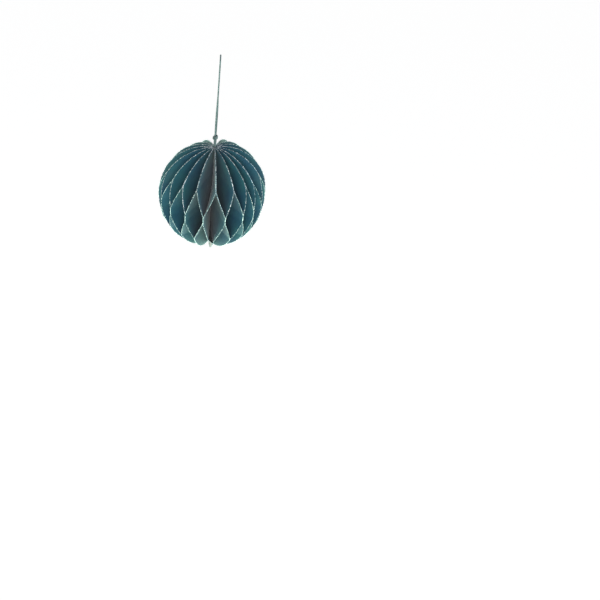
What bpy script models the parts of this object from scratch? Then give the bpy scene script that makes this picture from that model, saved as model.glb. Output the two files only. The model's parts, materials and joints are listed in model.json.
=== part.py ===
"""Fold-out paper ball ornament on a knotted cord loop.

Thirty-six half-round card leaves stand round one upright axis like the pages of a book
opened through a full circle. Each leaf is hinged to the next along its straight inner edge,
so the ball closes into a flat half-round stack. Two runs of cord go up the hollow between
the inner edges, are knotted above the ball and carry on as one hanging loop.
The origin is the inside of the top of the loop, where the ornament hangs. Metres, +Z up.
"""

import math

import bmesh
import bpy
from mathutils import Matrix, Vector

# ball and leaves
BALL_RADIUS = 0.038
BALL_CENTRE_Z = -0.110
LEAF_THICKNESS = 0.0002
SPINE_RADIUS = 0.002
FOLDED_PITCH = 0.00035
ARC_STEPS = 32

# the fan was opened by hand, so its pairs of leaves stand unevenly: the angle from each pair
# to the next, counted from the closing seam, which is turned a little right of the front
SEAM_DEG = 4.5
FRONT_RIGHT_GAPS_DEG = [23.5, 18.5, 14.0]
FRONT_LEFT_GAPS_DEG = [21.0, 20.5, 19.5, 23.5]
BACK_GAPS = 11

# closing dots on the first leaf, in line with the glued points of the other leaves
DOT_RADIUS = 0.002
DOT_THICKNESS = 0.0003
DOT_GAP = 0.00005
DOT_INSET = 0.003
DOT_LATITUDE_DEG = 31.0
DOT_SIDES = 20

# cord
CORD_RADIUS = 0.00055
CORD_SIDES_RESOLUTION = 2
RUN_OFFSET = 0.00065
CORD_GAP = 0.0003
LOOP_POINT_SPACING = 0.0022
LOOP_FINE_STEPS = 24

# knots, as heights from the ball's centre
TOP_KNOT_BOTTOM = 0.0434
TOP_KNOT_TOP = 0.0480
TOP_KNOT_RADIUS = 0.0020
BOTTOM_KNOT_BOTTOM = -0.0374
BOTTOM_KNOT_TOP = -0.0343
BOTTOM_KNOT_RADIUS = 0.0016
KNOT_SIDES = 14
KNOT_RINGS = 7

# half of the loop's route, from the knot to the top: (distance from the axis, height), and
# the other half mirrors it; the weight of the ball draws it straight up to a 6 mm twig
LOOP_HALF_ROUTE = [
    (0.00060, -0.06170),
    (0.00070, -0.05850),
    (0.00110, -0.05050),
    (0.00160, -0.04050),
    (0.00212, -0.03050),
    (0.00262, -0.02050),
    (0.00300, -0.01300),
    (0.00328, -0.00750),
    (0.00340, -0.00330),
    (0.00300, -0.00130),
    (0.00175, 0.00010),
    (0.0, CORD_RADIUS),
]


def clear_scene():
    for obj in list(bpy.data.objects):
        bpy.data.objects.remove(obj, do_unlink=True)


def make_material(name, colour, roughness, metallic=0.0):
    material = bpy.data.materials.new(name)
    material.use_nodes = True
    shader = material.node_tree.nodes["Principled BSDF"]
    shader.inputs["Base Color"].default_value = (*colour, 1.0)
    shader.inputs["Roughness"].default_value = roughness
    shader.inputs["Metallic"].default_value = metallic
    return material


def add_object(name, data, material, parent=None):
    obj = bpy.data.objects.new(name, data)
    bpy.context.scene.collection.objects.link(obj)
    data.materials.append(material)
    obj.parent = parent
    return obj


def mesh_from(name, bm):
    bmesh.ops.recalc_face_normals(bm, faces=bm.faces)
    mesh = bpy.data.meshes.new(name)
    bm.to_mesh(mesh)
    bm.free()
    return mesh


def pair_gaps():
    """Angles between neighbouring pairs of leaves, in radians, once round from the seam."""
    seen = sum(FRONT_RIGHT_GAPS_DEG) + sum(FRONT_LEFT_GAPS_DEG)
    back = [(360.0 - seen) / BACK_GAPS] * BACK_GAPS
    return [math.radians(g) for g in FRONT_RIGHT_GAPS_DEG + back + FRONT_LEFT_GAPS_DEG]


def leaf_bearings():
    """Bearing of every leaf about +Z, from +X. Each pair's two leaves stand a quarter of the
    way into the gaps beside it, so the space inside a pair matches the space between pairs."""
    bearings = []
    pair = math.radians(SEAM_DEG - 90.0)
    for gap in pair_gaps():
        bearings += [pair + gap / 4, pair + 3 * gap / 4]
        pair += gap
    return bearings


def leaf_outline():
    """Half-round outline in the leaf's plane, as (distance from the axis, height)."""
    top = math.asin(math.sqrt(1.0 - (SPINE_RADIUS / BALL_RADIUS) ** 2))
    angles = [top - 2 * top * i / ARC_STEPS for i in range(ARC_STEPS + 1)]
    return [(BALL_RADIUS * math.cos(a), BALL_RADIUS * math.sin(a)) for a in angles]


def leaf_mesh(name, hinge_along, hinge_beside):
    """One flat leaf in its own frame, +X out from the ball's axis, shifted so that its hinge
    line is the frame's Z axis."""
    bm = bmesh.new()
    side = -LEAF_THICKNESS / 2 - hinge_beside
    outline = [bm.verts.new((r - hinge_along, side, z)) for r, z in leaf_outline()]
    face = bm.faces.new(outline)
    grown = bmesh.ops.extrude_face_region(bm, geom=[face])
    moved = [g for g in grown["geom"] if isinstance(g, bmesh.types.BMVert)]
    bmesh.ops.translate(bm, verts=moved, vec=(0.0, LEAF_THICKNESS, 0.0))
    return mesh_from(name, bm)


def hinge_along(step):
    """How far out along two neighbouring leaves their shared hinge line stands, so that they
    lie FOLDED_PITCH apart when the angle between them, step, has closed."""
    return FOLDED_PITCH / 2 / math.tan(step / 2)


def place_leaf(index, bearings, middle, paper, ball):
    """A leaf is hinged to its neighbour on the side of the middle leaf; the middle leaf
    itself turns with the cord, about the ball's axis."""
    name = f"leaf_{index + 1:02d}"
    bearing = bearings[index]
    along, beside = 0.0, 0.0
    if index != middle:
        towards = 1 if index < middle else -1
        step = abs(bearings[index + towards] - bearing)
        along = hinge_along(step)
        beside = towards * FOLDED_PITCH / 2
    leaf = add_object(name, leaf_mesh(name, along, beside), paper, ball)
    turn = Matrix.Rotation(bearing, 4, "Z")
    leaf.location = turn @ Vector((along, beside, 0.0))
    leaf.rotation_euler = (0.0, 0.0, bearing)


def disc_mesh(name, radius, thickness, sides):
    bm = bmesh.new()
    bmesh.ops.create_cone(
        bm, cap_ends=True, segments=sides, radius1=radius, radius2=radius, depth=thickness
    )
    return mesh_from(name, bm)


def place_dot(name, latitude, bearing, glue, ball):
    """A round closing dot on the face of the first leaf that looks at the last leaf."""
    reach = BALL_RADIUS - DOT_INSET
    out = reach * math.cos(latitude)
    beside = -(LEAF_THICKNESS / 2 + DOT_GAP + DOT_THICKNESS / 2)
    dot = add_object(name, disc_mesh(name, DOT_RADIUS, DOT_THICKNESS, DOT_SIDES), glue, ball)
    turn = Matrix.Rotation(bearing, 4, "Z")
    dot.location = turn @ Vector((out, beside, reach * math.sin(latitude)))
    dot.rotation_euler = (math.radians(90.0), 0.0, bearing)


def knot_mesh(name, bottom, top, radius):
    """A round knot with flattened ends, about the axis."""
    middle, half = (bottom + top) / 2, (top - bottom) / 2
    bm = bmesh.new()
    rings = []
    for i in range(KNOT_RINGS):
        angle = math.radians(-68.0 + 136.0 * i / (KNOT_RINGS - 1))
        r = radius * math.cos(angle)
        z = middle + half * math.sin(angle) / math.sin(math.radians(68.0))
        spots = [2 * math.pi * s / KNOT_SIDES for s in range(KNOT_SIDES)]
        rings.append([bm.verts.new((r * math.cos(a), r * math.sin(a), z)) for a in spots])
    for low, high in zip(rings, rings[1:]):
        bmesh.ops.bridge_loops(bm, edges=ring_edges(bm, low) + ring_edges(bm, high))
    bm.faces.new(rings[0])
    bm.faces.new(rings[-1])
    return mesh_from(name, bm)


def ring_edges(bm, ring):
    pairs = zip(ring, ring[1:] + ring[:1])
    return [bm.edges.get(pair) or bm.edges.new(pair) for pair in pairs]


def tube(name, points, material, parent=None):
    """A plain round cord along the points, with closed ends."""
    curve = bpy.data.curves.new(name, "CURVE")
    curve.dimensions = "3D"
    curve.bevel_depth = CORD_RADIUS
    curve.bevel_resolution = CORD_SIDES_RESOLUTION
    curve.use_fill_caps = True
    spline = curve.splines.new("POLY")
    spline.points.add(len(points) - 1)
    for spot, point in zip(spline.points, points):
        spot.co = (*point, 1.0)
    return add_object(name, curve, material, parent)


def smooth_curve(route):
    """Many close points on a smooth curve through the route's points."""
    ends = [2 * route[0] - route[1], *route, 2 * route[-1] - route[-2]]
    points = []
    for a, b, c, d in zip(ends, ends[1:], ends[2:], ends[3:]):
        for i in range(LOOP_FINE_STEPS):
            t = i / LOOP_FINE_STEPS
            points.append(
                0.5 * (2 * b + (c - a) * t + (2 * a - 5 * b + 4 * c - d) * t**2
                       + (3 * b - a - 3 * c + d) * t**3)
            )
    return points + [route[-1]]


def even_points(points, spacing):
    """Points at an even spacing along a close run of points, both ends kept."""
    lengths = [0.0]
    for a, b in zip(points, points[1:]):
        lengths.append(lengths[-1] + (b - a).length)
    count = round(lengths[-1] / spacing)
    even, at = [], 0
    for i in range(count + 1):
        wanted = lengths[-1] * i / count
        while at < len(points) - 2 and lengths[at + 1] < wanted:
            at += 1
        share = (wanted - lengths[at]) / (lengths[at + 1] - lengths[at])
        even.append(points[at].lerp(points[at + 1], share))
    return even


def loop_route():
    """The loop stands in the YZ plane: up on the near side, over the twig, down behind."""
    near = [Vector((0.0, -out, height)) for out, height in LOOP_HALF_ROUTE]
    far = [Vector((0.0, out, height)) for out, height in reversed(LOOP_HALF_ROUTE[:-1])]
    return near + far


def build():
    clear_scene()
    paper = make_material("leaf_card", (0.035, 0.13, 0.17), 0.45)
    cord = make_material("twisted_cord", (0.10, 0.17, 0.17), 0.8)
    glue = make_material("closing_dot", (0.75, 0.78, 0.76), 0.5)

    ball = bpy.data.objects.new("ball_axis", None)
    bpy.context.scene.collection.objects.link(ball)
    ball.location = (0.0, 0.0, BALL_CENTRE_Z)

    bearings = leaf_bearings()
    middle = len(bearings) // 2 - 1
    for index in range(len(bearings)):
        place_leaf(index, bearings, middle, paper, ball)
    latitude = math.radians(DOT_LATITUDE_DEG)
    place_dot("closing_dot_upper", latitude, bearings[0], glue, ball)
    place_dot("closing_dot_lower", -latitude, bearings[0], glue, ball)

    top_knot = knot_mesh("top_knot", TOP_KNOT_BOTTOM, TOP_KNOT_TOP, TOP_KNOT_RADIUS)
    low_knot = knot_mesh(
        "bottom_knot", BOTTOM_KNOT_BOTTOM, BOTTOM_KNOT_TOP, BOTTOM_KNOT_RADIUS
    )
    for mesh in (top_knot, low_knot):
        mesh.shade_smooth()
        add_object(mesh.name, mesh, cord, ball)
    run_ends = (BOTTOM_KNOT_TOP + CORD_GAP, TOP_KNOT_BOTTOM - CORD_GAP)
    for name, x in (("cord_run_left", -RUN_OFFSET), ("cord_run_right", RUN_OFFSET)):
        tube(name, [Vector((x, 0.0, z)) for z in run_ends], cord, ball)
    tube("cord_loop", even_points(smooth_curve(loop_route()), LOOP_POINT_SPACING), cord)


build()
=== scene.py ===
import json
import math

import bpy
import numpy as np
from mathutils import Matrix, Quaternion, Vector


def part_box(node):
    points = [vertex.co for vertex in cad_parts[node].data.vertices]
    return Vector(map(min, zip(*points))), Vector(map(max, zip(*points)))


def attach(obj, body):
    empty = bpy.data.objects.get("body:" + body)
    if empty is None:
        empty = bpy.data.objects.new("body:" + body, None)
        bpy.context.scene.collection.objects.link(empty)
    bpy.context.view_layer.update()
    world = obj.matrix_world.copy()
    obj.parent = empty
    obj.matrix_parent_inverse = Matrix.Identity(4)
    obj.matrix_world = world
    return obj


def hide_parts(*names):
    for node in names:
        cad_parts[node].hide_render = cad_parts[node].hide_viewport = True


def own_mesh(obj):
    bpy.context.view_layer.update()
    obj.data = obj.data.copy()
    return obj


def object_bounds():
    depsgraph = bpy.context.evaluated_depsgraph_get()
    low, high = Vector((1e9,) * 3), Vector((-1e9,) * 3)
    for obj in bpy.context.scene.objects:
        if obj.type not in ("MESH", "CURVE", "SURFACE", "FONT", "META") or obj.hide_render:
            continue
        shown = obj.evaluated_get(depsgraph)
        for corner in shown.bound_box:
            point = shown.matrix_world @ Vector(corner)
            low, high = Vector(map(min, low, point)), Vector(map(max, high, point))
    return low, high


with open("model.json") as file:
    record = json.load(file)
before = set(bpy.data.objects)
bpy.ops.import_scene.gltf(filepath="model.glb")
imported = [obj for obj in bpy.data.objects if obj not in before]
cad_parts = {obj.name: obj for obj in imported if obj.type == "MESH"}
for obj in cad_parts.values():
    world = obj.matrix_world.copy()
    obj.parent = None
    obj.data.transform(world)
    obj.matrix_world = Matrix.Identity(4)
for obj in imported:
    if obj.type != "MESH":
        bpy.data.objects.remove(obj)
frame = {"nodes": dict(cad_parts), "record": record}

cad_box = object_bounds()

# ---------------------------------------------------------------- camera
# A long lens looks 29 degrees down on the ball, which sits up and to the left in the view.
# The ball hangs a few degrees out of plumb, so the camera is rolled by as much.

LEAVES = sorted(n for n in frame["nodes"] if n.startswith("leaf_"))


def leaf_points(node):
    """Every corner of a leaf's flat card."""
    return np.array([v.co for v in frame["nodes"][node].data.vertices], float)


def ball_centre():
    """The middle of the ball: on the axis, halfway up the leaves."""
    low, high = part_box(LEAVES[0])
    return Vector((0.0, 0.0, (low[2] + high[2]) / 2))


CENTRE = ball_centre()
BALL_RADIUS = float(np.linalg.norm(leaf_points(LEAVES[0]) - np.array(CENTRE), axis=1).max())

LOOK_DOWN = math.radians(29.0)
LOOK_ROUND = math.radians(-0.5)
LEAN = math.radians(3.8)
CAMERA_DISTANCE = 2.4
CAMERA_SEES_TO = 50.0

# shares of the view's width: the ball's own width, and its place from the view's middle
BALL_SHARE = 0.1765
BALL_LEFT, BALL_UP = 0.1473, 0.1773

view_width = 2 * BALL_RADIUS / BALL_SHARE
level = math.cos(LOOK_DOWN)
back = Vector((math.sin(LOOK_ROUND) * level, -math.cos(LOOK_ROUND) * level, math.sin(LOOK_DOWN)))
reach = CAMERA_DISTANCE / view_width
ball_in_view = Vector((-BALL_LEFT, BALL_UP, -reach))
lens = bpy.data.cameras.new("camera")
lens.lens = lens.sensor_width * reach
lens.clip_end = CAMERA_SEES_TO
camera = bpy.data.objects.new("camera", lens)
camera.location = CENTRE + back * CAMERA_DISTANCE
camera.rotation_mode = "QUATERNION"
camera.rotation_quaternion = (
    back.to_track_quat("Z", "Y")
    @ Quaternion((0.0, 0.0, 1.0), LEAN)
    @ ball_in_view.rotation_difference(Vector((0.0, 0.0, -1.0)))
)
bpy.context.scene.collection.objects.link(camera)
bpy.context.scene.camera = camera

# ---------------------------------------------------------------- cord
# One length of fine three-ply cord, grey-teal cotton. Both ends come up the hollow of the
# ball side by side, are tied together above it and carry on as the loop it hangs from.

MM = 0.001
CORD_DIAMETER = 1.1 * MM
CORD_LAY = 3.6 * MM
PLY_COUNT = 3
PLY_SIDES = 8
ROUTE_STEP = 0.2 * MM

# heights between which the loop's two sides turn round each other, and how far they turn
TURN_TOP, TURN_BOTTOM = -0.030, -0.060
LOOP_TURN = math.radians(28.0)

# half of the loop's route: (distance from the axis, height below the twig)
LOOP_HALF_ROUTE = [
    (0.00060, -0.06170),
    (0.00070, -0.05850),
    (0.00110, -0.05050),
    (0.00160, -0.04050),
    (0.00212, -0.03050),
    (0.00262, -0.02050),
    (0.00300, -0.01300),
    (0.00328, -0.00750),
    (0.00340, -0.00330),
    (0.00300, -0.00130),
    (0.00175, 0.00010),
    (0.0, CORD_DIAMETER / 2),
]


def smooth_route(route, step=ROUTE_STEP):
    """Points a step apart on a smooth curve through the route's points."""
    route = [Vector(p) for p in route]
    ends = [2 * route[0] - route[1], *route, 2 * route[-1] - route[-2]]
    points = []
    for a, b, c, d in zip(ends, ends[1:], ends[2:], ends[3:]):
        count = max(2, round((c - b).length / step))
        for i in range(count):
            t = i / count
            points.append(
                0.5 * (2 * b + (c - a) * t + (2 * a - 5 * b + 4 * c - d) * t**2
                       + (3 * b - a - 3 * c + d) * t**3)
            )
    return points + [route[-1]]


def add_node(tree, kind, inputs=None, **settings):
    """A node with its settings, and its inputs linked from sockets or set to values."""
    node = tree.nodes.new(kind)
    for key, value in settings.items():
        setattr(node, key, value)
    for key, value in (inputs or {}).items():
        socket = node.inputs[key]
        if isinstance(value, bpy.types.NodeSocket):
            tree.links.new(value, socket)
        else:
            socket.default_value = value
    return node


def new_tree(name, sizes):
    """An empty geometry tree with a geometry in and out and named number inputs."""
    tree = bpy.data.node_groups.new(name, "GeometryNodeTree")
    tree.interface.new_socket("Geometry", in_out="INPUT", socket_type="NodeSocketGeometry")
    for label, kind in sizes.items():
        tree.interface.new_socket(label, in_out="INPUT", socket_type=kind)
    tree.interface.new_socket("Geometry", in_out="OUTPUT", socket_type="NodeSocketGeometry")
    return tree, tree.nodes.new("NodeGroupInput"), tree.nodes.new("NodeGroupOutput")


def grow(name, start, tree, values):
    """Runs a geometry tree on a start mesh or curve, and returns the result as a mesh."""
    seed = bpy.data.objects.new(name + "_start", start)
    bpy.context.scene.collection.objects.link(seed)
    modifier = seed.modifiers.new("grow", "NODES")
    modifier.node_group = tree
    for item in tree.interface.items_tree:
        if item.in_out == "INPUT" and item.name in values:
            modifier[item.identifier] = values[item.name]
    graph = bpy.context.evaluated_depsgraph_get()
    mesh = bpy.data.meshes.new_from_object(seed.evaluated_get(graph))
    mesh.name = name
    bpy.data.objects.remove(seed, do_unlink=True)
    return mesh


def put(name, mesh, body):
    """Shows a finished mesh as a piece that moves with a body."""
    piece = bpy.data.objects.new(name, mesh)
    bpy.context.scene.collection.objects.link(piece)
    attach(piece, body)
    return piece


def new_material(name):
    """A material with its tree, its shader and the piece's own coordinates."""
    material = bpy.data.materials.new(name)
    material.use_nodes = True
    tree = material.node_tree
    place = add_node(tree, "ShaderNodeTexCoord").outputs["Object"]
    return material, tree, tree.nodes["Principled BSDF"], place


def add_ramp(tree, factor, *stops):
    """A colour that runs from stop to stop, each given as its share and its colour."""
    ramp = add_node(tree, "ShaderNodeValToRGB", {"Fac": factor})
    elements = ramp.color_ramp.elements
    ready = len(elements)
    for number, (share, colour) in enumerate(stops):
        stop = elements[number] if number < ready else elements.new(share)
        stop.position = share
        stop.color = (*colour, 1.0)
    return ramp.outputs["Color"]


def cord_material():
    """Dyed cotton: patches of darker and paler fibre, with a fine nap."""
    material, tree, shader, place = new_material("cord_cotton")
    fibres = add_node(
        tree, "ShaderNodeTexNoise",
        {"Vector": place, "Scale": 2600.0, "Detail": 3.0, "Roughness": 0.6},
    )
    patches = add_node(tree, "ShaderNodeTexNoise", {"Vector": place, "Scale": 350.0})
    both = add_node(
        tree, "ShaderNodeMath",
        {0: fibres.outputs["Fac"], 1: 0.5, 2: patches.outputs["Fac"]},
        operation="MULTIPLY_ADD",
    )
    tint = add_ramp(
        tree, both.outputs["Value"],
        (0.55, (0.042, 0.072, 0.078)), (0.95, (0.130, 0.175, 0.180)),
    )
    tree.links.new(tint, shader.inputs["Base Color"])
    relief = add_node(
        tree, "ShaderNodeBump",
        {"Height": fibres.outputs["Fac"], "Strength": 0.4, "Distance": 0.0001},
    )
    tree.links.new(relief.outputs["Normal"], shader.inputs["Normal"])
    shader.inputs["Roughness"].default_value = 0.85
    shader.inputs["Sheen Weight"].default_value = 0.3
    shader.inputs["Sheen Roughness"].default_value = 0.4
    return material


def ply_tree(material):
    """Plies wound round a curve: each follows a helix about it, and is swept with a circle."""
    tree, given, result = new_tree(
        "cord_plies",
        {"Diameter": "NodeSocketFloat", "Lay": "NodeSocketFloat", "Ply Sides": "NodeSocketInt"},
    )
    diameter, lay, sides = (given.outputs[k] for k in ("Diameter", "Lay", "Ply Sides"))
    # three equal circles that touch just fit in a round that is 1 / ply_share times as wide
    ply_share = 1.0 / (1.0 + 2.0 / math.sqrt(3.0))
    ply_radius = add_node(
        tree, "ShaderNodeMath", {0: diameter, 1: 0.5 * ply_share}, operation="MULTIPLY"
    ).outputs[0]
    reach = add_node(
        tree, "ShaderNodeMath", {0: diameter, 1: 0.5 * (1.0 - ply_share)}, operation="MULTIPLY"
    ).outputs[0]
    along = add_node(tree, "GeometryNodeSplineParameter").outputs["Length"]
    turns = add_node(tree, "ShaderNodeMath", {0: along, 1: lay}, operation="DIVIDE").outputs[0]
    normal = add_node(tree, "GeometryNodeInputNormal").outputs["Normal"]
    tangent = add_node(tree, "GeometryNodeInputTangent").outputs["Tangent"]
    side = add_node(
        tree, "ShaderNodeVectorMath", {0: tangent, 1: normal}, operation="CROSS_PRODUCT"
    ).outputs["Vector"]
    profile = add_node(
        tree, "GeometryNodeCurvePrimitiveCircle", {"Resolution": sides, "Radius": ply_radius}
    ).outputs["Curve"]
    join = add_node(tree, "GeometryNodeJoinGeometry")
    for ply in range(PLY_COUNT):
        angle = add_node(
            tree, "ShaderNodeMath",
            {0: turns, 1: 2 * math.pi, 2: 2 * math.pi * ply / PLY_COUNT},
            operation="MULTIPLY_ADD",
        ).outputs[0]
        parts = []
        for wave, direction in (("COSINE", normal), ("SINE", side)):
            share = add_node(tree, "ShaderNodeMath", {0: angle}, operation=wave).outputs[0]
            size = add_node(
                tree, "ShaderNodeMath", {0: share, 1: reach}, operation="MULTIPLY"
            ).outputs[0]
            parts.append(add_node(
                tree, "ShaderNodeVectorMath", {0: direction, "Scale": size}, operation="SCALE"
            ).outputs["Vector"])
        offset = add_node(
            tree, "ShaderNodeVectorMath", {0: parts[0], 1: parts[1]}, operation="ADD"
        ).outputs["Vector"]
        helix = add_node(
            tree, "GeometryNodeSetPosition",
            {"Geometry": given.outputs["Geometry"], "Offset": offset},
        ).outputs["Geometry"]
        ply_mesh = add_node(
            tree, "GeometryNodeCurveToMesh",
            {"Curve": helix, "Profile Curve": profile, "Fill Caps": True},
        ).outputs["Mesh"]
        tree.links.new(ply_mesh, join.inputs["Geometry"])
    real = add_node(
        tree, "GeometryNodeRealizeInstances", {"Geometry": join.outputs["Geometry"]}
    ).outputs["Geometry"]
    finish = add_node(
        tree, "GeometryNodeSetMaterial", {"Geometry": real, "Material": material}
    ).outputs["Geometry"]
    tree.links.new(finish, result.inputs["Geometry"])
    return tree


def route_curve(name, routes):
    """A curve with one spline for each route, point to point."""
    curve = bpy.data.curves.new(name, "CURVE")
    curve.dimensions = "3D"
    curve.twist_mode = "MINIMUM"
    for route in routes:
        spline = curve.splines.new("POLY")
        spline.points.add(len(route) - 1)
        for spot, point in zip(spline.points, route):
            spot.co = (*point, 1.0)
    return curve


cotton = cord_material()
plies = ply_tree(cotton)


def lay_cord(name, routes, diameter=CORD_DIAMETER):
    """A mesh of twisted cord along each route; a thinner cord has a shorter lay."""
    mesh = grow(
        name,
        route_curve(name + "_route", routes),
        plies,
        {"Diameter": diameter, "Lay": CORD_LAY * diameter / CORD_DIAMETER, "Ply Sides": PLY_SIDES},
    )
    mesh.shade_smooth()
    return mesh


def loop_spot(side, out, height):
    """A point of the loop; near the knot its two sides start to turn round each other."""
    share = min(1.0, max(0.0, (height - TURN_TOP) / (TURN_BOTTOM - TURN_TOP)))
    angle = LOOP_TURN * share
    return (side * out * math.sin(angle), side * out * math.cos(angle), height)


near = [loop_spot(-1, out, height) for out, height in LOOP_HALF_ROUTE]
far = [loop_spot(1, out, height) for out, height in reversed(LOOP_HALF_ROUTE[:-1])]
loop_points = smooth_route(near + far)
loop = put("cord_loop_twisted", lay_cord("cord_loop_twisted", [loop_points]), "loop")
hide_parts("cord_loop")

# ---------------------------------------------------------------- runs through the ball
# The two runs of the same cord that come up the hollow between the leaves' inner edges, from
# the lower knot to the upper one. They lean on each other and twist a little.

RUN_OFFSET = 0.55 * MM
RUN_TURN = math.radians(20.0)
RUN_WAVES = 3
RUN_POINTS = 24

# how far the runs reach into the knots past their plain solids
INTO_LOWER_KNOT, INTO_UPPER_KNOT = 0.3 * MM, 0.5 * MM


def body_of(node):
    """The body that a node of the plain model moves with."""
    bodies = frame["record"]["behaviour"]["bodies"]
    return next(body for body, nodes in bodies.items() if node in nodes)


MIDDLE_BODY = body_of("top_knot")

for side, node in ((-1, "cord_run_left"), (1, "cord_run_right")):
    low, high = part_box(node)
    heights = np.linspace(low[2] - INTO_LOWER_KNOT, high[2] + INTO_UPPER_KNOT, RUN_POINTS)
    route = []
    for share, z in zip(np.linspace(0.0, 1.0, RUN_POINTS), heights):
        angle = RUN_TURN * math.sin(2 * math.pi * RUN_WAVES * share)
        route.append((side * RUN_OFFSET * math.cos(angle), side * RUN_OFFSET * math.sin(angle), z))
    run = put(node + "_twisted", lay_cord(node, [smooth_route(route)]), MIDDLE_BODY)
    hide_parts(node)

# ---------------------------------------------------------------- knots
# Overhand knots tied in both cords together. The upper one shows above the ball; the lower
# one is pulled up into the hollow, and keeps the leaves from sliding off.

KNOT_CORD = 1.0 * MM
WRAP_PITCH = 0.85 * MM
WRAP_TILT = 0.42 * MM
WRAP_POINTS = 60

# shares of the knot's radius: how wide it is at its ends, and how far out a wrap starts among
# the standing cords; and how steeply the wrap comes out from there
KNOT_ENDS = 0.80
TUCKED_IN, TUCK_RISE = 0.35, 6

# shares of the knot's height between which the standing cords run
CORE_FROM, CORE_TO = -0.12, 1.18
CORE_POINTS = 14


def wrap_route(low, high, radius):
    """Out of the standing cords, up round them at a slant, and back in."""
    middle = (low + high) / 2
    turns = (high - low - KNOT_CORD - 2 * WRAP_TILT) / WRAP_PITCH
    points = []
    for share in np.linspace(0.0, 1.0, WRAP_POINTS):
        angle = 2 * math.pi * turns * (share - 0.5)
        out = (radius - KNOT_CORD / 2) * (KNOT_ENDS + (1 - KNOT_ENDS) * math.sin(math.pi * share))
        out *= min(1.0, TUCKED_IN + TUCK_RISE * min(share, 1 - share))
        height = middle + turns * WRAP_PITCH * (share - 0.5) + WRAP_TILT * math.cos(angle)
        points.append((out * math.cos(angle), out * math.sin(angle), height))
    return points


def core_routes(low, high):
    """The two cords that stand inside the knot, and turn from side by side to front and back."""
    routes = []
    for side in (-1, 1):
        route = []
        for share in np.linspace(CORE_FROM, CORE_TO, CORE_POINTS):
            angle = (math.pi / 2 - LOOP_TURN) * min(1.0, max(0.0, share))
            out = side * RUN_OFFSET
            z = low + (high - low) * share
            route.append((out * math.cos(angle), out * math.sin(angle), z))
        routes.append(route)
    return routes


for node in ("top_knot", "bottom_knot"):
    low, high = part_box(node)
    radius = (high[0] - low[0]) / 2
    routes = [wrap_route(low[2], high[2], radius), *core_routes(low[2], high[2])]
    knot_mesh = lay_cord(node + "_tied", [smooth_route(r) for r in routes], KNOT_CORD)
    knot = put(node + "_tied", knot_mesh, MIDDLE_BODY)
    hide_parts(node)

# ---------------------------------------------------------------- leaves
# Half-round leaves of petrol-teal pearl card. Neighbours are glued at the upper and lower
# points in pairs, and each pair to the next one at the equator, so every leaf waves from
# side to side. The outer edge of each is dipped in glue and silver glitter.

CARD_THICKNESS = 0.20 * MM
GLUE_THICKNESS = 0.04 * MM
INNER_RADIUS = 1.5 * MM

# latitudes of the glued places: the pairs' upper and lower points, and both ends of the glued
# stretch at the equator; and how much these, and the leaves' bearings, differ by hand
UPPER_POINT_DEG, LOWER_POINT_DEG = 31.0, -34.5
MIDDLE_TOP_DEG, MIDDLE_BOTTOM_DEG = -0.5, -6.5
POINT_SPREAD_DEG = 1.2
LINE_SPREAD_DEG = 0.5
LEAF_SEED = 36

# share of the way between two glued places in which the card bends
BEND_SHARE = 0.07

# points of a leaf's sheet, which crowd toward its outer edge
ROWS, COLUMNS = 120, 13
EDGE_CROWDING = 1.6

# edges of the card that turn by more than this stay sharp
SHARP_FROM = math.radians(50.0)

# the bead of glue along the edge, narrower at its ends, and the flakes in it
BEAD_RADIUS = 0.13 * MM
BEAD_SIDES = 6
BEAD_END = 0.3
FLAKES_PER_MM2 = 5.5
FLAKE_SIZE = 0.20 * MM
FLAKE_THICKNESS = 0.04 * MM
FLAKE_SCALES = 0.55, 1.25

# the seam between the last leaf and the first: how far each is held at its lower point, and
# again at the bottom of the ball, where 1 is glued to the other and 0 stands straight
CURLED_LEAF = len(LEAVES) - 1
SEAM_UPPER_HOLD = 0.98
SEAM_LOWER_HOLDS = {0: (0.76, 0.95), CURLED_LEAF: (0.13, 0.80)}
SEAM_TIP_DEG = -60.0

# the last leaf's margin below that point, which has come unstuck and rolls outward
CURL = 2.7 * MM
CURL_FROM = 0.86
CURL_SAG = 0.35
CURL_TOP_DEG, CURL_BOTTOM_DEG = -32.5, -63.0
CURL_OPENS_BY = 0.12
CURL_FADE, CURL_ROLL = 0.6, 1.3

# keeps a division sound at the leaves' pointed ends, which have no width
NO_WIDTH = 1e-9

# the leaves stand a little proud at the upper right of the back, by this share of the radius
STAND_OUT = 0.048
STAND_OUT_TOWARD = np.array((0.57, 0.55, 0.61))
STAND_OUT_FROM, STAND_OUT_FULL = 0.55, 0.90

COLUMN_SHARES = 1.0 - (1.0 - np.linspace(0.0, 1.0, COLUMNS)) ** EDGE_CROWDING

chance = np.random.default_rng(LEAF_SEED)


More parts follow.
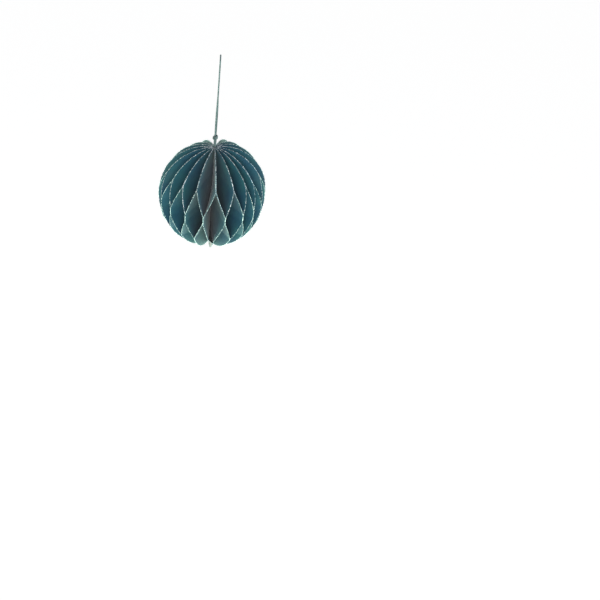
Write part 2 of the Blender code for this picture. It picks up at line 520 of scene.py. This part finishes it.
def card_material():
    """Pearl card: petrol blue-green that shifts softly in patches, with a fine felt grain.

    Its faint glow is painted light: an even glow, though the card is no lamp, that stands in for
    light coming through thin card and lifts its shaded hollows.
    """
    material, tree, shader, place = new_material("pearl_card")
    cloud = add_node(
        tree, "ShaderNodeTexNoise", {"Vector": place, "Scale": 55.0, "Detail": 3.0}
    )
    tint = add_ramp(
        tree, cloud.outputs["Fac"],
        (0.35, (0.010, 0.064, 0.108)), (0.68, (0.017, 0.096, 0.112)),
    )
    tree.links.new(tint, shader.inputs["Base Color"])
    grain = add_node(
        tree, "ShaderNodeTexNoise",
        {"Vector": place, "Scale": 1500.0, "Detail": 4.0, "Roughness": 0.65},
    )
    relief = add_node(
        tree, "ShaderNodeBump",
        {"Height": grain.outputs["Fac"], "Strength": 0.25, "Distance": 0.00004},
    )
    tree.links.new(relief.outputs["Normal"], shader.inputs["Normal"])
    gloss = add_node(
        tree, "ShaderNodeMapRange",
        {"Value": grain.outputs["Fac"], "To Min": 0.50, "To Max": 0.66},
    )
    tree.links.new(gloss.outputs["Result"], shader.inputs["Roughness"])
    shader.inputs["Specular IOR Level"].default_value = 0.30
    shader.inputs["Sheen Weight"].default_value = 0.23
    shader.inputs["Sheen Roughness"].default_value = 0.4
    shader.inputs["Sheen Tint"].default_value = (0.86, 0.90, 0.86, 1.0)
    # painted light: a faint glow of its own that lifts the shaded hollows between the leaves
    shader.inputs["Emission Color"].default_value = (0.32, 0.40, 0.46, 1.0)
    shader.inputs["Emission Strength"].default_value = 0.012
    return material


def board_and_sheen_material():
    """Bare pale grey board, where the card's colour stops; its paleness is also a painted highlight,
    for the light the curled margin catches from below.
    """
    material, tree, shader, place = new_material("bare_board_and_sheen")
    fibres = add_node(
        tree, "ShaderNodeTexNoise", {"Vector": place, "Scale": 700.0, "Detail": 3.0}
    )
    # pale grey: partly the bare board's colour, partly a painted highlight for the light from below
    tint = add_ramp(
        tree, fibres.outputs["Fac"],
        (0.0, (0.20, 0.150, 0.160)), (1.0, (0.30, 0.228, 0.242)),
    )
    tree.links.new(tint, shader.inputs["Base Color"])
    shader.inputs["Roughness"].default_value = 0.8
    return material


def glitter_material():
    """Silver glitter with a teal cast, each flake a little lighter or darker."""
    material, tree, shader, place = new_material("silver_glitter")
    cells = add_node(tree, "ShaderNodeTexVoronoi", {"Vector": place, "Scale": 1700.0})
    tint = add_ramp(
        tree, cells.outputs["Color"],
        (0.25, (0.04, 0.08, 0.10)), (0.60, (0.44, 0.53, 0.58)), (0.80, (0.96, 0.98, 1.0)),
    )
    tree.links.new(tint, shader.inputs["Base Color"])
    shader.inputs["Metallic"].default_value = 0.6
    shader.inputs["Roughness"].default_value = 0.30
    return material


def glitter_tree(glitter):
    """Square-cut flakes scattered over the bead of glue along a leaf's edge."""
    tree, given, result = new_tree(
        "edge_glitter",
        {"Density": "NodeSocketFloat", "Flake Size": "NodeSocketFloat",
         "Flake Thickness": "NodeSocketFloat", "Seed": "NodeSocketInt"},
    )
    leaf = given.outputs["Geometry"]
    bead = add_node(
        tree, "GeometryNodeInputNamedAttribute", {"Name": "bead"}, data_type="BOOLEAN"
    ).outputs["Attribute"]
    spots = add_node(
        tree, "GeometryNodeDistributePointsOnFaces",
        {"Mesh": leaf, "Selection": bead, "Density": given.outputs["Density"],
         "Seed": given.outputs["Seed"]},
    ).outputs["Points"]
    size = given.outputs["Flake Size"]
    edges = add_node(
        tree, "ShaderNodeCombineXYZ",
        {"X": size, "Y": size, "Z": given.outputs["Flake Thickness"]},
    ).outputs["Vector"]
    flake = add_node(tree, "GeometryNodeMeshCube", {"Size": edges}).outputs["Mesh"]
    tumble = add_node(
        tree, "FunctionNodeRandomValue",
        {"Min": (0.0, 0.0, 0.0), "Max": (2 * math.pi,) * 3, "Seed": given.outputs["Seed"]},
        data_type="FLOAT_VECTOR",
    ).outputs["Value"]
    chosen = add_node(
        tree, "FunctionNodeRandomValue",
        {"Seed": given.outputs["Seed"]}, data_type="FLOAT",
    )
    # the node has one pair of limits for each kind of value
    low, high = [s for s in chosen.inputs if s.name in ("Min", "Max") and s.type == "VALUE"]
    low.default_value, high.default_value = FLAKE_SCALES
    scale = next(s for s in chosen.outputs if s.type == "VALUE")
    flakes = add_node(
        tree, "GeometryNodeInstanceOnPoints",
        {"Points": spots, "Instance": flake, "Rotation": tumble, "Scale": scale},
    ).outputs["Instances"]
    real = add_node(tree, "GeometryNodeRealizeInstances", {"Geometry": flakes}).outputs[0]
    silver = add_node(
        tree, "GeometryNodeSetMaterial", {"Geometry": real, "Material": glitter}
    ).outputs[0]
    glued = add_node(
        tree, "GeometryNodeSetMaterial",
        {"Geometry": leaf, "Selection": bead, "Material": glitter},
    ).outputs[0]
    join = add_node(tree, "GeometryNodeJoinGeometry")
    tree.links.new(silver, join.inputs["Geometry"])
    tree.links.new(glued, join.inputs["Geometry"])
    tree.links.new(join.outputs["Geometry"], result.inputs["Geometry"])
    return tree


def bend(share):
    """0 to 1, straight in the middle and rounded at both ends, as card turns at a glued point."""
    share = np.clip(share, 0.0, 1.0)
    e = BEND_SHARE
    middle = share - e / 2
    rise = share**2 / (2 * e)
    fall = (1 - e) - (1 - share) ** 2 / (2 * e)
    return np.where(share < e, rise, np.where(share > 1 - e, fall, middle)) / (1 - e)


def leaning(latitude, upper, lower, top, bottom, upper_hold=1.0, lower_holds=(1.0, 1.0)):
    """How far a leaf leans to its partner: 1 glued to it, -1 glued to the next pair."""
    rising = bend((latitude - top) / (upper - top))
    falling = bend((bottom - latitude) / (bottom - lower))
    closing = np.clip((lower - latitude) / (lower - math.radians(SEAM_TIP_DEG)), 0.0, 1.0)
    lower_hold = lower_holds[0] + (lower_holds[1] - lower_holds[0]) * closing
    return -1.0 + (1.0 + upper_hold) * rising + (1.0 + lower_hold) * falling


def bearing_of(node):
    """The way a flat leaf points, as an angle round the ball's axis."""
    out = leaf_points(node).mean(axis=0)
    return math.atan2(out[1], out[0])


BEARINGS = [bearing_of(n) for n in LEAVES]
PAIRS = len(LEAVES) // 2


def unevenness(size_deg):
    """A small angle for each pair, from gluing by hand."""
    return np.radians(chance.uniform(-size_deg, size_deg, PAIRS))


upper_points = math.radians(UPPER_POINT_DEG) + unevenness(POINT_SPREAD_DEG)
lower_points = math.radians(LOWER_POINT_DEG) + unevenness(POINT_SPREAD_DEG)
middle_tops = math.radians(MIDDLE_TOP_DEG) + unevenness(POINT_SPREAD_DEG)
middle_bottoms = math.radians(MIDDLE_BOTTOM_DEG) + unevenness(POINT_SPREAD_DEG)
pair_drift = unevenness(LINE_SPREAD_DEG)
gap_drift = unevenness(LINE_SPREAD_DEG)


def curl(latitude, out):
    """How far the margin that has come unstuck below the seam's lower point rolls outward."""
    share = (out - INNER_RADIUS) / (BALL_RADIUS * np.cos(latitude) - INNER_RADIUS + NO_WIDTH)
    top, bottom = math.radians(CURL_TOP_DEG), math.radians(CURL_BOTTOM_DEG)
    down = np.clip((top - latitude) / (top - bottom), 0.0, 1.0)
    amount = np.minimum(1.0, down / CURL_OPENS_BY) * (1 - down) ** CURL_FADE
    rolled = np.clip((share - CURL_FROM) / (1 - CURL_FROM), 0.0, 1.0) ** CURL_ROLL
    return CURL * amount * rolled


def leaf_side_shift(index, latitude, out):
    """Sideways distance of a leaf from its mean plane, at a height and distance out.

    One neighbour is its partner in a pair; the other is across a gap, and met at the equator.
    """
    even = index % 2 == 0
    gap = index // 2
    pair = gap if even else (gap + 1) % PAIRS
    beside = index + 1 if even else index - 1
    half_angle = abs(math.remainder(BEARINGS[beside] - BEARINGS[index], 2 * math.pi)) / 2
    holds = {}
    if pair == 0:
        holds = {"upper_hold": SEAM_UPPER_HOLD, "lower_holds": SEAM_LOWER_HOLDS[index]}
    lean = leaning(
        latitude, upper_points[pair], lower_points[pair], middle_tops[gap],
        middle_bottoms[gap], **holds,
    )
    reach = np.maximum(0.0, out * math.sin(half_angle) - (CARD_THICKNESS + GLUE_THICKNESS) / 2)
    drift = out * ((1 + lean) / 2 * pair_drift[pair] + (1 - lean) / 2 * gap_drift[gap])
    shift = (-1 if even else 1) * lean * reach + drift
    return shift + curl(latitude, out) if index == CURLED_LEAF else shift


def leaf_grid(index):
    """Rows of points from the inner edge to the outer one, on the leaf's waved middle sheet."""
    top = math.acos(INNER_RADIUS / BALL_RADIUS)
    latitude = np.linspace(-top, top, ROWS)[:, None]
    share = COLUMN_SHARES[None, :]
    edge = BALL_RADIUS * np.cos(latitude)
    out = INNER_RADIUS + (edge - INNER_RADIUS) * share
    shift = leaf_side_shift(index, latitude, out)
    along = np.sqrt(np.maximum(out**2 - shift**2, 0.0))
    height = np.broadcast_to(BALL_RADIUS * np.sin(latitude), out.shape)
    if index == CURLED_LEAF:
        height = height - CURL_SAG * curl(latitude, out)
    return along, shift, height


def standing_out(away):
    """How much further out the card stands at the upper right of the back."""
    toward = away @ STAND_OUT_TOWARD / np.linalg.norm(away, axis=-1)
    share = np.clip((toward - STAND_OUT_FROM) / (STAND_OUT_FULL - STAND_OUT_FROM), 0.0, 1.0)
    return (1.0 + STAND_OUT * share**2 * (3 - 2 * share))[..., None]


def leaf_to_place(index, along, shift, height):
    """From a leaf's own plane to the ball."""
    c, s = math.cos(BEARINGS[index]), math.sin(BEARINGS[index])
    away = np.stack([along * c - shift * s, along * s + shift * c, height], axis=-1)
    return np.array(CENTRE) + away * standing_out(away)


def sheet_faces(rows, columns):
    """Quads of a front and a back sheet and of the rim that joins them."""
    def spot(side, row, column):
        return (side * rows + row) * columns + column

    faces = []
    for r in range(rows - 1):
        for c in range(columns - 1):
            quad = [(r, c), (r, c + 1), (r + 1, c + 1), (r + 1, c)]
            faces.append([spot(0, *q) for q in quad])
            faces.append([spot(1, *q) for q in reversed(quad)])
    rim = [(0, c) for c in range(columns)] + [(r, columns - 1) for r in range(1, rows)]
    rim += [(rows - 1, c) for c in range(columns - 2, -1, -1)]
    rim += [(r, 0) for r in range(rows - 2, 0, -1)]
    for a, b in zip(rim, rim[1:] + rim[:1]):
        faces.append([spot(0, *b), spot(0, *a), spot(1, *a), spot(1, *b)])
    return faces


def bead_points(edge_points):
    """A thin round bead of glue along the outer edge, with pointed ends."""
    away = edge_points - np.array(CENTRE)
    away /= np.linalg.norm(away, axis=1)[:, None]
    run = np.gradient(edge_points, axis=0)
    run /= np.linalg.norm(run, axis=1)[:, None]
    beside = np.cross(run, away)
    taper = np.ones(len(edge_points))
    taper[0] = taper[-1] = BEAD_END
    rings = []
    for k in range(BEAD_SIDES):
        angle = 2 * math.pi * k / BEAD_SIDES
        radius = (BEAD_RADIUS * taper)[:, None]
        rings.append(edge_points + radius * (math.cos(angle) * away + math.sin(angle) * beside))
    return np.stack(rings, axis=1)


def bead_faces(first, rows):
    """Quads along the bead, whose points start at number first, and a cap at each end."""
    def spot(row, k):
        return first + row * BEAD_SIDES + k % BEAD_SIDES

    faces = [[spot(0, k) for k in range(BEAD_SIDES)]]
    for r in range(rows - 1):
        for k in range(BEAD_SIDES):
            faces.append([spot(r, k), spot(r + 1, k), spot(r + 1, k + 1), spot(r, k + 1)])
    faces.append([spot(rows - 1, k) for k in reversed(range(BEAD_SIDES))])
    return faces


def pale_margin_faces(index):
    """Which faces are the curled margin, where the glue took the card's colour with it; they get the
    pale board colour, which is also a painted highlight for the light the margin catches from below.
    """
    if index != CURLED_LEAF:
        return set()
    top = math.acos(INNER_RADIUS / BALL_RADIUS)
    rows = [int((math.radians(d) + top) / (2 * top) * (ROWS - 1))
            for d in (CURL_BOTTOM_DEG, CURL_TOP_DEG)]
    first = int(np.argmax(COLUMN_SHARES > CURL_FROM)) - 1
    return {
        2 * (r * (COLUMNS - 1) + c)
        for r in range(*rows) for c in range(first, COLUMNS - 1)
    }


def leaf_mesh(index, card, board_and_sheen):
    """One leaf: its card, and round its edge the bead, which is marked for the glitter."""
    along, shift, height = leaf_grid(index)
    half = CARD_THICKNESS / 2
    front = leaf_to_place(index, along, shift - half, height)
    rear = leaf_to_place(index, along, shift + half, height)
    edge = leaf_to_place(index, along, shift, height)[:, -1]
    bead = bead_points(edge)
    points = np.concatenate([front.reshape(-1, 3), rear.reshape(-1, 3), bead.reshape(-1, 3)])
    sheets = sheet_faces(ROWS, COLUMNS)
    faces = sheets + bead_faces(2 * ROWS * COLUMNS, ROWS)
    mesh = bpy.data.meshes.new(f"{LEAVES[index]}_card")
    mesh.from_pydata(points.tolist(), [], faces)
    mesh.materials.append(card)
    mesh.materials.append(board_and_sheen)
    pale_margin = pale_margin_faces(index)
    # the curled margin gets the pale board colour, partly a painted highlight for the light it
    # catches from below
    mesh.polygons.foreach_set("material_index", [int(i in pale_margin) for i in range(len(faces))])
    marks = mesh.attributes.new("bead", "BOOLEAN", "FACE")
    marks.data.foreach_set("value", [i >= len(sheets) for i in range(len(faces))])
    mesh.shade_smooth()
    mesh.set_sharp_from_angle(angle=SHARP_FROM)
    return mesh


card = card_material()
board_and_sheen = board_and_sheen_material()
glitter = glitter_material()
scatter = glitter_tree(glitter)

for index, node in enumerate(LEAVES):
    mesh = grow(
        f"{node}_card",
        leaf_mesh(index, card, board_and_sheen),
        scatter,
        {"Density": FLAKES_PER_MM2 / MM**2, "Flake Size": FLAKE_SIZE,
         "Flake Thickness": FLAKE_THICKNESS, "Seed": index + 1},
    )
    leaf = put(f"{node}_card", mesh, body_of(node))
    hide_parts(node)
    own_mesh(leaf)

# ---------------------------------------------------------------- closing dots
# Two round dots of clear glue on the first leaf, at the upper and lower points of the seam.
# The upper one holds the last leaf; the lower one has let go.

DOT_THICKNESS = 0.3 * MM
DOT_SIDES = 24

# rings of the cushion from its foot up: share of its radius, share of its thickness
DOT_RINGS = ((1.0, 0.0), (0.96, 0.6), (0.8, 1.0))


def dot_material():
    """Dried glue: glossy, cloudy, and of the card's colour, which shows through it."""
    material, tree, shader, place = new_material("dry_glue")
    cloud = add_node(tree, "ShaderNodeTexNoise", {"Vector": place, "Scale": 900.0})
    tint = add_ramp(
        tree, cloud.outputs["Fac"],
        (0.0, (0.035, 0.105, 0.130)), (1.0, (0.050, 0.130, 0.150)),
    )
    tree.links.new(tint, shader.inputs["Base Color"])
    shader.inputs["Roughness"].default_value = 0.3
    shader.inputs["Sheen Weight"].default_value = 0.2
    return material


def dot_mesh(node, glue):
    """A low round cushion of glue on the waved face of the first leaf."""
    low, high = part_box(node)
    middle = (np.array(low) + np.array(high)) / 2
    out = float(np.hypot(middle[0], middle[1]))
    height = middle[2] - CENTRE.z
    radius = (high[2] - low[2]) / 2
    points, faces = [], []
    for width, rise in DOT_RINGS:
        for k in range(DOT_SIDES):
            angle = 2 * math.pi * k / DOT_SIDES
            o = np.array(out + radius * width * math.cos(angle))
            h = np.array(height + radius * width * math.sin(angle))
            face = leaf_side_shift(0, np.arcsin(h / BALL_RADIUS), o) - CARD_THICKNESS / 2
            points.append(leaf_to_place(0, o, face - DOT_THICKNESS * rise, h))
    for ring in range(len(DOT_RINGS) - 1):
        for k in range(DOT_SIDES):
            a, b = ring * DOT_SIDES + k, ring * DOT_SIDES + (k + 1) % DOT_SIDES
            faces.append([a, b, b + DOT_SIDES, a + DOT_SIDES])
    top = (len(DOT_RINGS) - 1) * DOT_SIDES
    faces.append(list(reversed(range(DOT_SIDES))))
    faces.append(list(range(top, top + DOT_SIDES)))
    mesh = bpy.data.meshes.new(node + "_glue")
    mesh.from_pydata([tuple(p) for p in points], [], faces)
    mesh.materials.append(glue)
    mesh.shade_smooth()
    return mesh


glue = dot_material()

for node in ("closing_dot_upper", "closing_dot_lower"):
    dot = put(node + "_glue", dot_mesh(node, glue), LEAVES[0])
    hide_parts(node)
    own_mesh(dot)

# ---------------------------------------------------------------- floor and light
# A pale floor well below the ball, a strong window of light in front, a weak one at each side.
# Floor and room look plain white, but light the ball as if it hung among fir branches:
# softly from all round, and pale green from below.

FLOOR_DROP = 1.5
FLOOR_SIZE = 30.0
FLOOR_LIGHT, FLOOR_LOOK = 2.6, 0.55
ROOM_LIGHT, ROOM_LOOK = 0.45, 1.0
WHITE = (1.0, 1.0, 1.0)
FIR_GREEN = (0.67, 1.0, 0.78)


def two_strengths(tree, light, look):
    """Whether the camera sees it, and a glow with one strength as light, another as seen."""
    seen = add_node(tree, "ShaderNodeLightPath").outputs["Is Camera Ray"]
    strength = add_node(tree, "ShaderNodeMapRange", {"Value": seen, "To Min": light, "To Max": look})
    return seen, strength.outputs["Result"]


def floor_material():
    """Matt white paint that glows enough to look white all over."""
    material = bpy.data.materials.new("floor_paint")
    material.use_nodes = True
    tree = material.node_tree
    shader = tree.nodes["Principled BSDF"]
    shader.inputs["Base Color"].default_value = (0.93, 0.93, 0.93, 1.0)
    shader.inputs["Roughness"].default_value = 0.9
    seen, glow = two_strengths(tree, FLOOR_LIGHT, FLOOR_LOOK)
    tint = add_ramp(tree, seen, (0.0, FIR_GREEN), (1.0, WHITE))
    tree.links.new(glow, shader.inputs["Emission Strength"])
    tree.links.new(tint, shader.inputs["Emission Color"])
    return material


floor_place = (0.0, 0.0, cad_box[0][2] - FLOOR_DROP)
bpy.ops.mesh.primitive_plane_add(size=FLOOR_SIZE, location=floor_place)
floor = bpy.context.object
floor.name = "floor"
floor.data.materials.append(floor_material())


def soft_light(name, place, size, power, colour):
    """A square window of light that faces the ball and isn't seen itself."""
    light = bpy.data.lights.new(name, "AREA")
    light.shape = "SQUARE"
    light.size = size
    light.energy = power
    light.color = colour
    lamp = bpy.data.objects.new(name, light)
    lamp.location = place
    lamp.rotation_mode = "QUATERNION"
    lamp.rotation_quaternion = (Vector(place) - CENTRE).to_track_quat("Z", "Y")
    lamp.visible_camera = False
    bpy.context.scene.collection.objects.link(lamp)


soft_light("left_window", place=(-1.0, -0.6, 0.4), size=0.9, power=3.5, colour=(0.70, 1.0, 0.80))
soft_light("right_window", place=(1.1, -0.5, 0.3), size=0.9, power=4.5, colour=(0.35, 0.72, 1.0))
soft_light("front_window", place=(-0.1, -1.6, 0.35), size=1.0, power=16.0, colour=(1.0, 0.86, 0.91))

world = bpy.data.worlds.new("room")
world.use_nodes = True
room = world.node_tree.nodes["Background"]
room.inputs["Color"].default_value = (*WHITE, 1.0)
_, brightness = two_strengths(world.node_tree, ROOM_LIGHT, ROOM_LOOK)
world.node_tree.links.new(brightness, room.inputs["Strength"])
bpy.context.scene.world = world
bpy.context.scene.view_settings.view_transform = "Standard"
